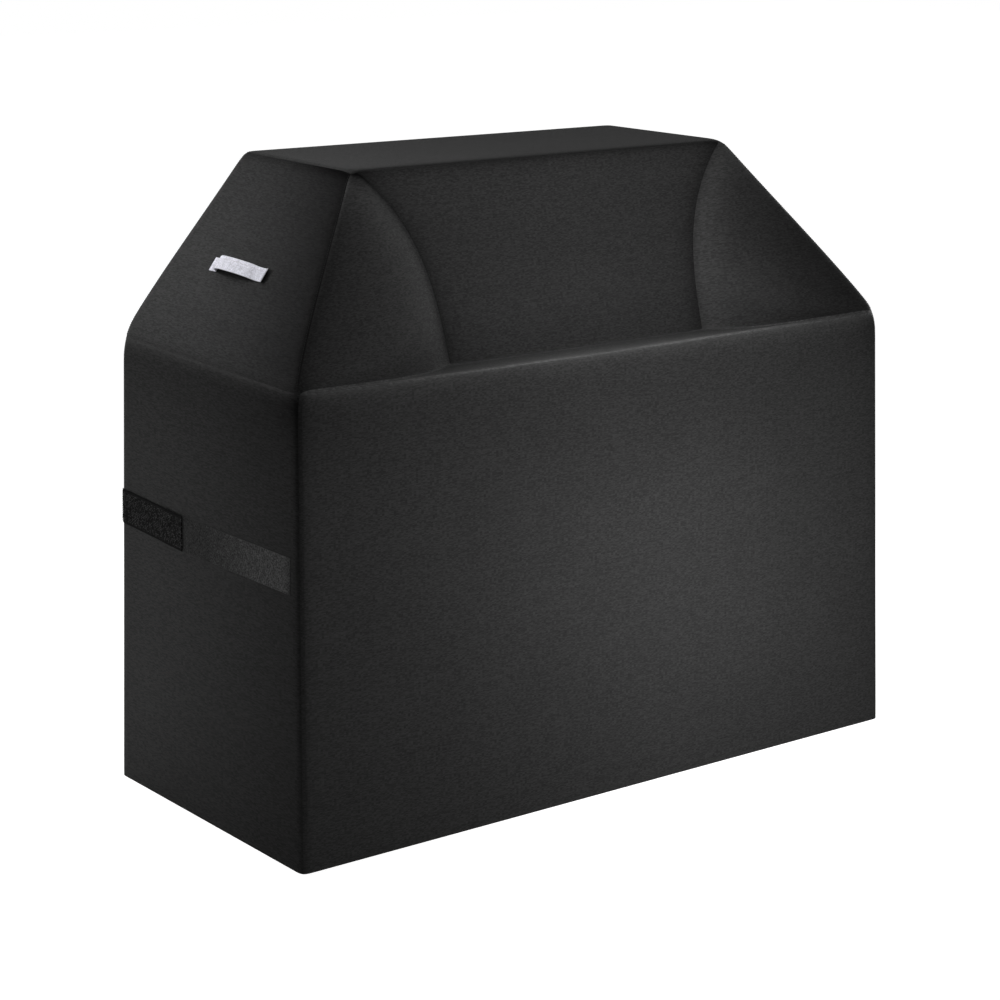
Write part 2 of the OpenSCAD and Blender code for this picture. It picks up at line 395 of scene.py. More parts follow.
def settle(points):
    """The cloth's small departures from the CAD's planes: it stands a little off them all
    round, fullest half way up the slopes, and rides up slightly at the back left."""
    x, y, z = points.T
    hood = np.clip((z - SHOULDER_Z) / (TOP_Z - SHOULDER_Z), 0, 1)
    full = FULLNESS * np.sin(np.pi * hood) ** FULLNESS_SPREAD * np.abs(x) / HEM_X
    back = (y + HEM_Y) / (2 * HEM_Y)
    left = (HEM_X - x) / (2 * HEM_X)
    raised = np.clip(z / SHOULDER_Z, 0, 1) ** LIFT_NEARNESS
    outward_x = (EASE + full + TOP_FULLNESS * hood ** TOP_NEARNESS) * x / HEM_X
    outward_y = EASE * y / HEM_Y
    upward = raised * (LIFTED + back * left * (RIDE_UP - RIDE_UP_LESS * hood))
    return points + np.stack([outward_x, outward_y, upward], axis=1)


def seam_fields():
    """For every point, how strongly it belongs to a seam's groove and its puffed edge, the
    softness of the corner there, and its distance to each seam that is near."""
    count = len(POINTS)
    groove, puff, softness, aways = np.zeros(count), np.zeros(count), np.ones(count), {}
    for name, (panel, side, strength, soft) in SEAMS.items():
        line = POINTS[border(panel, side)]
        box_low, box_high = line.min(0) - SEAM_REACH, line.max(0) + SEAM_REACH
        close = np.flatnonzero(((POINTS > box_low) & (POINTS < box_high)).all(1))
        away = distance_to_line(POINTS[close], line)
        seam_factor = strength * np.exp(-(away / GROOVE_WIDTH) ** 2)
        lift = strength * (away / PUFF_WIDTH) * np.exp(1 - away / PUFF_WIDTH)
        loose = 1 + (soft - 1) * np.exp(-(away / SOFT_WIDTH) ** 2)
        for field, here in ((groove, seam_factor), (puff, lift), (softness, loose)):
            field[close] = np.maximum(field[close], here)
        aways[name] = np.full(count, np.inf)
        aways[name][close] = away
    return groove, puff, softness, aways


def shaded(panel, aways):
    """The painted shade at each of a panel's points, as a share taken off its colour. Below 0 it
    is a painted highlight.
    """
    ids = IDS[panel]
    dark = np.zeros(ids.shape)
    for kind, bands in PAINTED_SHADES.items():
        if kind not in panel:
            continue
        for seam_kind, strength, width in bands:
            near = np.min([away[ids] for seam, away in aways.items() if seam_kind in seam], axis=0)
            dark += strength * np.exp(-(near / width) ** SHADE_FADE)
    return np.minimum(dark, DARKEST)


def sewn():
    """The cover's surface, rounded and sewn, and each panel's painted shade and highlight. The hem
    stays level.
    """
    pinned = np.zeros((len(POINTS), 3), bool)
    pinned[POINTS[:, 2] < SAME_POINT, 2] = True
    groove, puff, softness, aways = seam_fields()
    rounded = spread(settle(POINTS), QUADS, ROUNDING, softness, pinned)
    way = normals_of(rounded, QUADS)
    way[pinned[:, 2], 2] = 0
    lifted = rounded + way * (PUFF_HEIGHT * puff - GROOVE_DEPTH * groove)[:, None]
    return lifted, {name: shaded(name, aways) for name in IDS}


SURFACE, PAINTED_SHADE = sewn()
FACING = normals_of(SURFACE, QUADS)

# -------- materials


def nodes_of(name):
    """A new material, its node tree and its shader."""
    material = bpy.data.materials.new(name)
    material.use_nodes = True
    tree = material.node_tree
    return material, tree, tree.nodes["Principled BSDF"]


def maths(tree, kind, first, second=None, third=None):
    """A maths node's output. Each input is a number or another node's output."""
    node = tree.nodes.new("ShaderNodeMath")
    node.operation = kind
    for socket, value in zip(node.inputs, (first, second, third)):
        if value is None:
            continue
        if isinstance(value, (int, float)):
            socket.default_value = value
        else:
            tree.links.new(value, socket)
    return node.outputs[0]


def attribute(tree, name, output="Vector"):
    node = tree.nodes.new("ShaderNodeAttribute")
    node.attribute_name = name
    return node.outputs[output]


def noise(tree, where, scale, detail=3.0):
    node = tree.nodes.new("ShaderNodeTexNoise")
    node.inputs["Scale"].default_value = scale
    node.inputs["Detail"].default_value = detail
    tree.links.new(where, node.inputs["Vector"])
    return node.outputs["Fac"]


def remap(tree, value, low_in, high_in, low_out, high_out):
    """A value clamped to one range and scaled to another."""
    node = tree.nodes.new("ShaderNodeMapRange")
    tree.links.new(value, node.inputs["Value"])
    for socket, number in zip(list(node.inputs)[1:5], (low_in, high_in, low_out, high_out)):
        socket.default_value = number
    return node.outputs["Result"]


def vector_maths(tree, kind, vector):
    """A vector maths node with its first input set."""
    node = tree.nodes.new("ShaderNodeVectorMath")
    node.operation = kind
    tree.links.new(vector, node.inputs[0])
    return node


def parts_of(tree, vector):
    """A vector's three parts."""
    node = tree.nodes.new("ShaderNodeSeparateXYZ")
    tree.links.new(vector, node.inputs[0])
    return node.outputs


def cell_values(tree, vector):
    """A random value for each unit cell of the space that the vector runs through."""
    floor = vector_maths(tree, "FLOOR", vector)
    random = tree.nodes.new("ShaderNodeTexWhiteNoise")
    tree.links.new(floor.outputs[0], random.inputs["Vector"])
    return random.outputs["Value"]


def tint(tree, shader, colour, brightness):
    """Gives the shader a colour times a brightness that nodes work out."""
    node = tree.nodes.new("ShaderNodeVectorMath")
    node.operation = "SCALE"
    node.inputs[0].default_value = colour
    tree.links.new(brightness, node.inputs["Scale"])
    tree.links.new(node.outputs[0], shader.inputs["Base Color"])


def emboss(tree, shader, height, distance, strength):
    """Gives the shader a bump of this height, which nodes work out."""
    node = tree.nodes.new("ShaderNodeBump")
    node.inputs["Distance"].default_value = distance
    node.inputs["Strength"].default_value = strength
    tree.links.new(height, node.inputs["Height"])
    tree.links.new(node.outputs["Normal"], shader.inputs["Normal"])


def set_surface(shader, roughness, gloss):
    shader.inputs["Roughness"].default_value = roughness
    shader.inputs["Specular IOR Level"].default_value = gloss


WEFT_SHARE = 0.7  # how much more the weft threads' own shades show than the warp's


def plain_weave(tree, cloth, pitch):
    """The height of a plain weave, from 0 to 1, a random shade for each crossing, and one for
    each thread."""
    cells = vector_maths(tree, "SCALE", cloth)
    cells.inputs["Scale"].default_value = 1 / pitch
    parts = parts_of(tree, cells.outputs[0])
    waves = [maths(tree, "SINE", maths(tree, "MULTIPLY", parts[k], math.pi)) for k in (0, 1)]
    height = maths(tree, "ABSOLUTE", maths(tree, "MULTIPLY", *waves))
    crossing = cell_values(tree, cells.outputs[0])
    threads = []
    for k in (0, 1):
        thread = tree.nodes.new("ShaderNodeTexWhiteNoise")
        thread.noise_dimensions = "1D"
        tree.links.new(maths(tree, "FLOOR", parts[k]), thread.inputs["W"])
        threads.append(thread.outputs["Value"])
    warp = maths(tree, "MULTIPLY", threads[0], 1 - WEFT_SHARE)
    streak = maths(tree, "MULTIPLY_ADD", threads[1], WEFT_SHARE, warp)
    return height, crossing, streak


def product(tree, *values):
    """All these values multiplied together."""
    total = values[0]
    for value in values[1:]:
        total = maths(tree, "MULTIPLY", total, value)
    return total


COVER_COLOUR = (0.0166, 0.0166, 0.0166)
COVER_GLOSS = 0.118
# How bright the darkest and the palest slub, thread, height of the weave and blotch are.
SLUB_SHADES, THREAD_SHADES = (0.74, 1.26), (0.95, 1.05)
RELIEF_SHADES, BLOTCH_SHADES = (0.84, 1.24), (0.95, 1.05)
COVER_ROUGHNESS = (0.66, 0.54)  # between the threads, and on them
THREAD_PITCH = 0.0018
SLUB_LENGTH = 0.0050
SIDE_SCALE = 0.70  # the cloth's coordinates run slower across the sides, where slubs are longer


def slubs(tree, cloth):
    """A random value for each short length of each weft thread."""
    stretched = vector_maths(tree, "MULTIPLY", cloth)
    stretched.inputs[1].default_value = (1 / SLUB_LENGTH, 1 / THREAD_PITCH, 1)
    return cell_values(tree, stretched.outputs[0])


def cover_material():
    """Black coated polyester: a plain weave of slubby thread, with painted shade and painted
    highlight along the seams.
    """
    material, tree, shader = nodes_of("cover_fabric")
    cloth = attribute(tree, "cloth")
    height, _, streak = plain_weave(tree, cloth, THREAD_PITCH)
    # The painted shade stored along the seams is taken off the colour and the gloss; below 0 it is
    # a painted highlight.
    seam_factor = maths(tree, "SUBTRACT", 1.0, attribute(tree, "painted_seam_shade", "Fac"))
    grain_and_painted_shade = product(tree, remap(tree, slubs(tree, cloth), 0, 1, *SLUB_SHADES),
                    remap(tree, streak, 0, 1, *THREAD_SHADES),
                    remap(tree, height, 0, 1, *RELIEF_SHADES), seam_factor)
    bright = product(tree, grain_and_painted_shade, remap(tree, noise(tree, cloth, 6.0), 0.3, 0.7, *BLOTCH_SHADES))
    tint(tree, shader, COVER_COLOUR, bright)
    tree.links.new(remap(tree, height, 0, 1, *COVER_ROUGHNESS), shader.inputs["Roughness"])
    tree.links.new(product(tree, grain_and_painted_shade, COVER_GLOSS), shader.inputs["Specular IOR Level"])
    emboss(tree, shader, height, 0.0003, 0.5)
    return material


WEBBING_COLOUR = (0.800, 0.800, 0.880)
WEBBING_PITCH = 0.0016


def webbing_material():
    """Pale grey webbing: a coarse weave with a faint lavender cast."""
    material, tree, shader = nodes_of("webbing")
    cloth = attribute(tree, "cloth")
    height, crossing, streak = plain_weave(tree, cloth, WEBBING_PITCH)
    bright = product(tree, remap(tree, crossing, 0, 1, 0.80, 1.16),
                     remap(tree, streak, 0, 1, 0.9, 1.08),
                     remap(tree, height, 0, 1, 0.76, 1.12),
                     remap(tree, noise(tree, cloth, 90.0), 0.3, 0.7, 0.88, 1.08))
    tint(tree, shader, WEBBING_COLOUR, bright)
    set_surface(shader, 0.75, 0.2)
    emboss(tree, shader, height, 0.0005, 0.7)
    return material


HOOK_COLOUR = (0.0028, 0.0028, 0.0028)
HOOK_PITCH = 0.0032
HOOK_BORDER = (0.006, 0.003)  # how far from the tape's edge the hooks begin to thin, and end
HOOK_GLINT, HOOK_GROUND = 30.0, 0.8  # a hook tip's painted glint and the bare tape's brightness, times the colour


def hook_material():
    """Black tape, plain along its edges; the stiff hooks between them are bumps with painted
    glints.
    """
    material, tree, shader = nodes_of("hook_tape")
    cloth = attribute(tree, "cloth")
    off_centre = maths(tree, "ABSOLUTE", parts_of(tree, cloth)[1])
    inner, outer = (STRAP_WIDTH / 2 - border for border in HOOK_BORDER)
    field = remap(tree, off_centre, inner, outer, 1, 0)
    height, crossing, _ = plain_weave(tree, cloth, HOOK_PITCH)
    # Painted glints on the hook tips, fading out towards the tape's plain edges.
    speck = product(tree, remap(tree, height, 0.2, 0.9, 0, 1),
                    remap(tree, crossing, 0.3, 1.0, 0, 1), field)
    bright = maths(tree, "MULTIPLY_ADD", speck, HOOK_GLINT, HOOK_GROUND)
    tint(tree, shader, HOOK_COLOUR, bright)
    set_surface(shader, 0.7, 0.04)
    emboss(tree, shader, product(tree, height, field), 0.0012, 0.9)
    return material


LOOP_COLOUR = (0.057, 0.057, 0.057)


def loop_material():
    """Brushed loop pile: soft and mottled, darker near the strap, with painted shade at its front
    end.
    """
    material, tree, shader = nodes_of("loop_tape")
    cloth = attribute(tree, "cloth")
    along = parts_of(tree, cloth)[0]
    ragged = maths(tree, "MULTIPLY_ADD", noise(tree, cloth, 30.0), 0.14, along)
    brushed = remap(tree, ragged, 0.17, 0.36, 1.0, 0.50)
    # Painted shade: the strip darkens over its last 22 mm towards the front end, next to the
    # cover's front corner.
    end = remap(tree, along, 0.0, 0.022, 0.65, 1.0)
    pile = remap(tree, noise(tree, cloth, 300.0, 2.0), 0.3, 0.7, 0.30, 1.70)
    blotch = remap(tree, noise(tree, cloth, 90.0, 3.0), 0.3, 0.7, 0.72, 1.28)
    bright = product(tree, pile, blotch, brushed, end)
    tint(tree, shader, LOOP_COLOUR, bright)
    set_surface(shader, 0.95, 0.1)
    emboss(tree, shader, noise(tree, cloth, 700.0, 2.0), 0.0009, 0.8)
    return material


BLACK_THREAD, PALE_THREAD = (0.013, 0.013, 0.013), (0.68, 0.68, 0.74)


def thread_material(name, colour):
    """Twisted sewing thread."""
    material, tree, shader = nodes_of(name)
    place = tree.nodes.new("ShaderNodeTexCoord").outputs["Object"]
    twist = remap(tree, noise(tree, place, 2500.0, 1.0), 0.3, 0.7, 0.8, 1.2)
    tint(tree, shader, colour, twist)
    set_surface(shader, 0.7, 0.12)
    return material


# -------- panels


def add_mesh(name, points, faces, material):
    """A smooth shaded object of these points and faces."""
    mesh = bpy.data.meshes.new(name)
    mesh.from_pydata([tuple(p) for p in points], [], [tuple(f) for f in faces])
    mesh.validate()
    mesh.shade_smooth()
    mesh.materials.append(material)
    piece = bpy.data.objects.new(name, mesh)
    bpy.context.scene.collection.objects.link(piece)
    return piece


def closed_sheet(rows, cols):
    """The faces of a sheet with an outer and an inner layer of rows x cols points, and the
    edges of its rim, where the shading breaks."""
    index = np.arange(rows * cols).reshape(rows, cols)
    outer = np.stack([index[:-1, :-1], index[1:, :-1], index[1:, 1:], index[:-1, 1:]], -1)
    outer = outer.reshape(-1, 4)
    rim = np.concatenate([index[0, :-1], index[:-1, -1], index[-1, :0:-1], index[:0:-1, 0]])
    after = np.roll(rim, -1)
    count = rows * cols
    walls = np.stack([rim, after, after + count, rim + count], axis=-1)
    return np.concatenate([outer, outer[:, ::-1] + count, walls]), np.stack([rim, after], axis=-1)


def sharpen(mesh, pairs):
    """Breaks the smooth shading along the edges between these pairs of points."""
    wanted = {tuple(sorted(map(int, p))) for p in pairs}
    for edge in mesh.edges:
        if tuple(sorted(edge.vertices)) in wanted:
            edge.use_edge_sharp = True


def set_attribute(mesh, name, values):
    """Stores a number or a vector for each point, for the material to read."""
    kind, field = ("FLOAT_VECTOR", "vector") if values.ndim == 2 else ("FLOAT", "value")
    made = mesh.attributes.new(name, kind, "POINT")
    made.data.foreach_set(field, np.ascontiguousarray(values, np.float32).ravel())


def cloth_sheet(name, outer, inner, material, cloth, shade=None):
    """A closed sheet between two grids of points."""
    rows, cols = outer.shape[:2]
    faces, rim = closed_sheet(rows, cols)
    both = np.concatenate([outer.reshape(-1, 3), inner.reshape(-1, 3)])
    piece = add_mesh(name, both, faces, material)
    sharpen(piece.data, np.concatenate([rim, rim + rows * cols]))
    set_attribute(piece.data, "cloth", np.tile(cloth.reshape(-1, 3), (2, 1)))
    # shade is the painted shade and painted highlight along the seams, stored for the material.
    if shade is not None:
        set_attribute(piece.data, "painted_seam_shade", np.tile(shade.reshape(-1), 2))
    return piece


def cloth_coordinates(grid, number):
    """Coordinates along the cloth's two threads, in metres, from the panel's own directions."""
    across = grid[-1, -1] - grid[-1, 0]
    across = across / np.linalg.norm(across)
    down = grid[-1].mean(0) - grid[0].mean(0)
    down = down - across * (down @ across)
    down = down / np.linalg.norm(down)
    return np.stack([grid @ across, grid @ down, np.full(grid.shape[:2], number)], axis=-1)


def panels(material):
    """Cuts each panel out of the sewn surface as a closed sheet of cloth."""
    for number, (name, ids) in enumerate(IDS.items()):
        outer = SURFACE[ids]
        inner = outer - FACING[ids] * CLOTH
        cloth = cloth_coordinates(GRIDS[name], number)
        stretch = SIDE_SCALE if "side" in name or "slope" in name else 1.0
        piece = cloth_sheet(f"{name}_cloth", outer, inner, material, cloth * [stretch, 1, 1],
                            PAINTED_SHADE[name])
        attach(piece, "cover")
        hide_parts(name)


# -------- hems

HEM_ROWS = 5
HEM_CLOTH_NUMBER = 20  # sets the hems' weave apart from the panels'


def hems(material):
    """The bottom edges turned in: a strip of cloth inside the foot of each wall."""
    for side in ("front", "back", "left", "right"):
        wall = f"{side}_lower_panel" if side in ("front", "back") else f"{side}_side_panel"
        ids = IDS[wall][[-3, -1]]
        foot, above = SURFACE[ids[1]], SURFACE[ids[0]]
        share = HEM_HEIGHT / above[:, 2].max()
        rows = np.linspace(share, 0, HEM_ROWS)[:, None, None]
        skin = foot + (above - foot) * rows
        way = np.broadcast_to(FACING[ids[0]], skin.shape)
        outer = skin - way * (CLOTH + CLEARANCE)
        inner = outer - way * CLOTH
        cloth = cloth_coordinates(skin, HEM_CLOTH_NUMBER)
        piece = cloth_sheet(f"{side}_hem_cloth", outer, inner, material, cloth)
        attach(piece, "cover")
        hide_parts(f"{side}_hem")


# -------- bands: webbing and tape

KNOT_STEPS = 24  # points from each knot of a smooth line to the next
EDGE_SQUARENESS = (0.28, 0.5)  # the powers that square a band's outline across and in depth


def lengths_along(line):
    """How far along a line each of its points is."""
    return np.concatenate([[0], np.cumsum(np.linalg.norm(np.diff(line, axis=0), axis=1))])


def smooth_line(knots, count):
    """A smooth open curve through a few knots, as count points evenly spaced along it."""
    knots = np.asarray(knots, float)
    padded = np.concatenate([[2 * knots[0] - knots[1]], knots, [2 * knots[-1] - knots[-2]]])
    pieces = []
    for p0, p1, p2, p3 in zip(padded[:-3], padded[1:-2], padded[2:-1], padded[3:]):
        t = np.linspace(0, 1, KNOT_STEPS + 1)[:-1, None]
        pieces.append(0.5 * (2 * p1 + (p2 - p0) * t + (2 * p0 - 5 * p1 + 4 * p2 - p3) * t ** 2
                             + (3 * p1 - p0 - 3 * p2 + p3) * t ** 3))
    line = np.concatenate(pieces + [knots[-1:]])
    travelled = lengths_along(line)
    even = np.linspace(0, travelled[-1], count)
    return np.stack([np.interp(even, travelled, line[:, k]) for k in range(line.shape[1])], axis=1)


def band_piece(name, path, side, width, thickness, material, around=28):
    """A flat band with rounded edges along a path, and its length. side is the direction of
    its width, and around is how many points go round it."""
    tangent = np.gradient(path, axis=0)
    tangent /= np.linalg.norm(tangent, axis=1)[:, None]
    out = np.cross(side, tangent)
    out /= np.linalg.norm(out, axis=1)[:, None]
    angle = np.linspace(0, 2 * np.pi, around, endpoint=False) + np.pi / around
    c, s = np.cos(angle), np.sin(angle)
    across = np.sign(c) * np.abs(c) ** EDGE_SQUARENESS[0] * width / 2
    deep = np.sign(s) * np.abs(s) ** EDGE_SQUARENESS[1] * thickness / 2
    rings = path[:, None] + side * across[None, :, None] + out[:, None] * deep[None, :, None]
    count = len(path)
    index = np.arange(count * around).reshape(count, around)
    after = np.roll(index, -1, 1)
    faces = np.stack([index[:-1], after[:-1], after[1:], index[1:]], -1)
    faces = [tuple(f) for f in faces.reshape(-1, 4)]
    half = around // 2
    for ring, turned in ((index[0], True), (index[-1], False)):
        for k in range(half - 1):
            quad = (ring[k], ring[k + 1], ring[around - 2 - k], ring[around - 1 - k])
            faces.append(quad[::-1] if turned else quad)
    piece = add_mesh(name, rings.reshape(-1, 3), faces, material)
    sharpen(piece.data, np.stack([index[[0, -1]], after[[0, -1]]], -1).reshape(-1, 2))
    along = lengths_along(path)
    cloth = np.stack(np.broadcast_arrays(along[:, None], across[None], 0.0), axis=-1)
    set_attribute(piece.data, "cloth", cloth.reshape(-1, 3))
    return piece, float(along[-1])


THREAD_RADIUS, THREAD_SIDES = 0.0003, 5
STITCH_GAP = 0.12  # share of the pitch left free at each end of a stitch
# A stitch is a thread of five rings: how far along it each lies, how high it stands over the
# cloth and how thick it is, both in thread radii. Its ends dip into the cloth.
STITCH_ALONG = np.array([0.0, 0.12, 0.5, 0.88, 1.0])
STITCH_LIFT = np.array([-0.9, 0.5, 0.9, 0.5, -0.9])
STITCH_FAT = np.array([0.6, 1.0, 1.0, 1.0, 0.6])


def stitches(name, lines, material, pitch):
    """Short raised threads along lines. Each line is (points, the way out of the cloth)."""
    points, faces = [], []
    for line, ways in lines:
        travelled = lengths_along(line)
        count = max(1, int(travelled[-1] / pitch))
        starts = (np.arange(count) + STITCH_GAP) * travelled[-1] / count
        length = (1 - 2 * STITCH_GAP) * travelled[-1] / count
        at = (starts[:, None] + STITCH_ALONG[None] * length).ravel()
        centre, out = (
            np.stack([np.interp(at, travelled, row[:, k]) for k in range(3)], axis=1)
            .reshape(count, -1, 3) for row in (line, ways))
        tangent = centre[:, -1:] - centre[:, :1]
        tangent /= np.linalg.norm(tangent, axis=2)[..., None]
        beside = np.cross(tangent, out)
        angle = 2 * np.pi * np.arange(THREAD_SIDES) / THREAD_SIDES
        ring = (beside[:, :, None] * np.cos(angle)[None, None, :, None]
                + out[:, :, None] * np.sin(angle)[None, None, :, None])
        centre = centre + out * (STITCH_LIFT * THREAD_RADIUS)[None, :, None]
        solid = centre[:, :, None] + ring * (STITCH_FAT * THREAD_RADIUS)[None, :, None, None]
        base = sum(len(p) for p in points)
        index = base + np.arange(solid.size // 3).reshape(solid.shape[:3])
        around = np.roll(index, -1, 2)
        quads = np.stack([index[:, :-1], around[:, :-1], around[:, 1:], index[:, 1:]], -1)
        faces.append(quads.reshape(-1, 4))
        points.append(solid.reshape(-1, 3))
    made = add_mesh(name, np.concatenate(points), np.concatenate(faces), material)
    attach(made, "cover")


def box_and_cross(first, last, half):
    """The lines of a box of stitching with a cross in it, each as points (y, u) where u is
    measured across the tape."""
    corners = [(first, -half), (last, -half), (last, half), (first, half), (first, -half),
               (last, half), (last, -half), (first, half)]
    return [[(y0 + (y1 - y0) * t, u0 + (u1 - u0) * t) for t in np.linspace(0, 1, 9)]
            for (y0, u0), (y1, u1) in zip(corners[:-1], corners[1:])]


SLOPE_UP = np.array([SHOULDER_X - TOP_X, 0, TOP_Z - SHOULDER_Z])
SLOPE_UP /= np.linalg.norm(SLOPE_UP)
SLOPE_OUT = np.array([-SLOPE_UP[2], 0, SLOPE_UP[0]])
WALL_UP = np.array([HEM_X - SHOULDER_X, 0, SHOULDER_Z])
WALL_UP /= np.linalg.norm(WALL_UP)
WALL_OUT = np.array([-WALL_UP[2], 0, WALL_UP[0]])
HINGES = {joint["name"]: np.array(joint["pos_m"]) for joint in frame["joints"]}
PIVOT_HEIGHT = 0.006  # the handle's hinge stands this far off the slope
STRAP_LIFT = 0.004  # the strap's hinge stands this far off the side
HANDLE_CENTRE = HINGES["left_handle_tilt"] - SLOPE_OUT * PIVOT_HEIGHT
STRAP_ROOT = HINGES["left_strap_peel"] - WALL_OUT * STRAP_LIFT
WEBBING_WIDTH = 0.028
WEBBING_THICKNESS = 0.0017
HANDLE_END = high("left_handle_rear_tab")[1] - HANDLE_CENTRE[1]
TAB_LENGTH = high("left_handle_rear_tab")[1] - low("left_handle_rear_tab")[1]
TAB_INNER = HANDLE_END - TAB_LENGTH
STRAP_WIDTH = 0.068
STRAP_THICKNESS = 0.0018
STRAP_TILT = 0.045
STRAP_SIDES = 44
HANDLE_POINTS, STRAP_POINTS, ROOT_POINTS = 121, 90, 24  # along each tape
STITCH_MARGIN = 0.004  # from a tape's edge to its stitching
HANDLE_STITCH_END, ROOT_STITCH_END = 0.009, 0.003  # the same at the tape's outer end
HANDLE_PITCH, STRAP_PITCH, COVER_PITCH = 0.0030, 0.0034, 0.0045  # one stitch and one gap
LOOP_HEIGHT = 0.0011
LOOP_UNDERSIDE = 0.0002
LOOP_ROWS, LOOP_COLS = 36, 220
# The pile's height at its edge, how much it rises with each row inwards, and its unevenness.
PILE_EDGE, PILE_RISE, PILE_UNEVENNESS = 0.35, 0.4, 0.10


def sided(side, points):
    """The same points on the left of the cover, or mirrored on its right."""
    return np.asarray(points) if side == "left" else flip(np.asarray(points))


AIM_ROUNDS = 3


def laid(panel, y, z):
    """The point of a slope or side panel's outer face at this y and z, and the way out there.
    The panel's plain grid finds the place, and the aim moves until the sewn surface has z."""
    grid, ids = GRIDS[panel], IDS[panel]
    aim = z
    for _ in range(AIM_ROUNDS):
        row = np.interp(-aim, -grid[:, 0, 2], np.arange(len(grid)))
        r = min(int(row), len(grid) - 2)
        ys = grid[r, :, 1] + (grid[r + 1, :, 1] - grid[r, :, 1]) * (row - r)
        way = math.copysign(1, ys[-1] - ys[0])
        col = np.interp(way * y, way * ys, np.arange(len(ys)))
        c = min(int(col), len(ys) - 2)
        down, across = row - r, col - c
        share = np.array([(1 - down) * (1 - across), (1 - down) * across,
                          down * (1 - across), down * across])
        corner = ids[[r, r, r + 1, r + 1], [c, c + 1, c, c + 1]]
        point = share @ SURFACE[corner]
        aim += z - point[2]
    facing = share @ FACING[corner]
    return point, facing / np.linalg.norm(facing)


def on_panel(panel, line, z, tilt=0.0):
    """Points over a panel from (y, height above the cloth). The line crosses the cloth at this
    z, and rises towards the back by tilt for each metre from its first point."""
    spots = [laid(panel, y, z + tilt * (y - line[0][0])) for y, _ in line]
    return np.array([point + facing * height for (point, facing), (_, height) in zip(spots, line)])


def handle(side, material, thread):
    """Webbing sewn down at both ends, with a bow that rises steeply at the back. The bow's
    points are (y from the middle, height over the cloth)."""
    panel = f"{side}_slope_panel"
    middle_y, middle_z = HANDLE_CENTRE[1:]
    rest = WEBBING_THICKNESS / 2 + CLEARANCE
    up = sided(side, SLOPE_UP)
    bow = [(-HANDLE_END, rest + 0.0050), (-HANDLE_END + 0.006, rest + 0.0010),
           (-HANDLE_END + 0.011, rest), (-TAB_INNER - 0.006, rest), (-TAB_INNER + 0.006, 0.0030),
           (-0.040, 0.0100), (0.000, 0.0170), (0.035, 0.0192), (TAB_INNER - 0.012, 0.0165),
           (TAB_INNER - 0.003, 0.0105), (TAB_INNER + 0.001, 0.0045), (TAB_INNER + 0.006, rest),
           (HANDLE_END, rest)]
    path = on_panel(panel, smooth_line(bow, HANDLE_POINTS) + np.array([middle_y, 0]), middle_z)
    middle = len(path) // 2
    halves = (("front", path[:middle + 1], -TAB_INNER), ("rear", path[middle:], TAB_INNER))
    for end, part, hinge_y in halves:
        piece, length = band_piece(f"{side}_handle_{end}_webbing", part, up, WEBBING_WIDTH,
                                   WEBBING_THICKNESS, material)
        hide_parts(f"{side}_handle_{end}_tab", f"{side}_handle_loop")
        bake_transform(piece)
    lines = []
    outside = rest + WEBBING_THICKNESS / 2
    for sign in (-1, 1):
        first, last = sign * (TAB_INNER + STITCH_MARGIN), sign * (HANDLE_END - HANDLE_STITCH_END)
        for spots in box_and_cross(first, last, WEBBING_WIDTH / 2 - STITCH_MARGIN):
            line = [on_panel(panel, [(middle_y + y, outside)], middle_z)[0] + up * u
                    for y, u in spots]
            lines.append((np.array(line), np.tile(sided(side, SLOPE_OUT), (len(line), 1))))
    stitches(f"{side}_handle_stitching", lines, thread, HANDLE_PITCH)


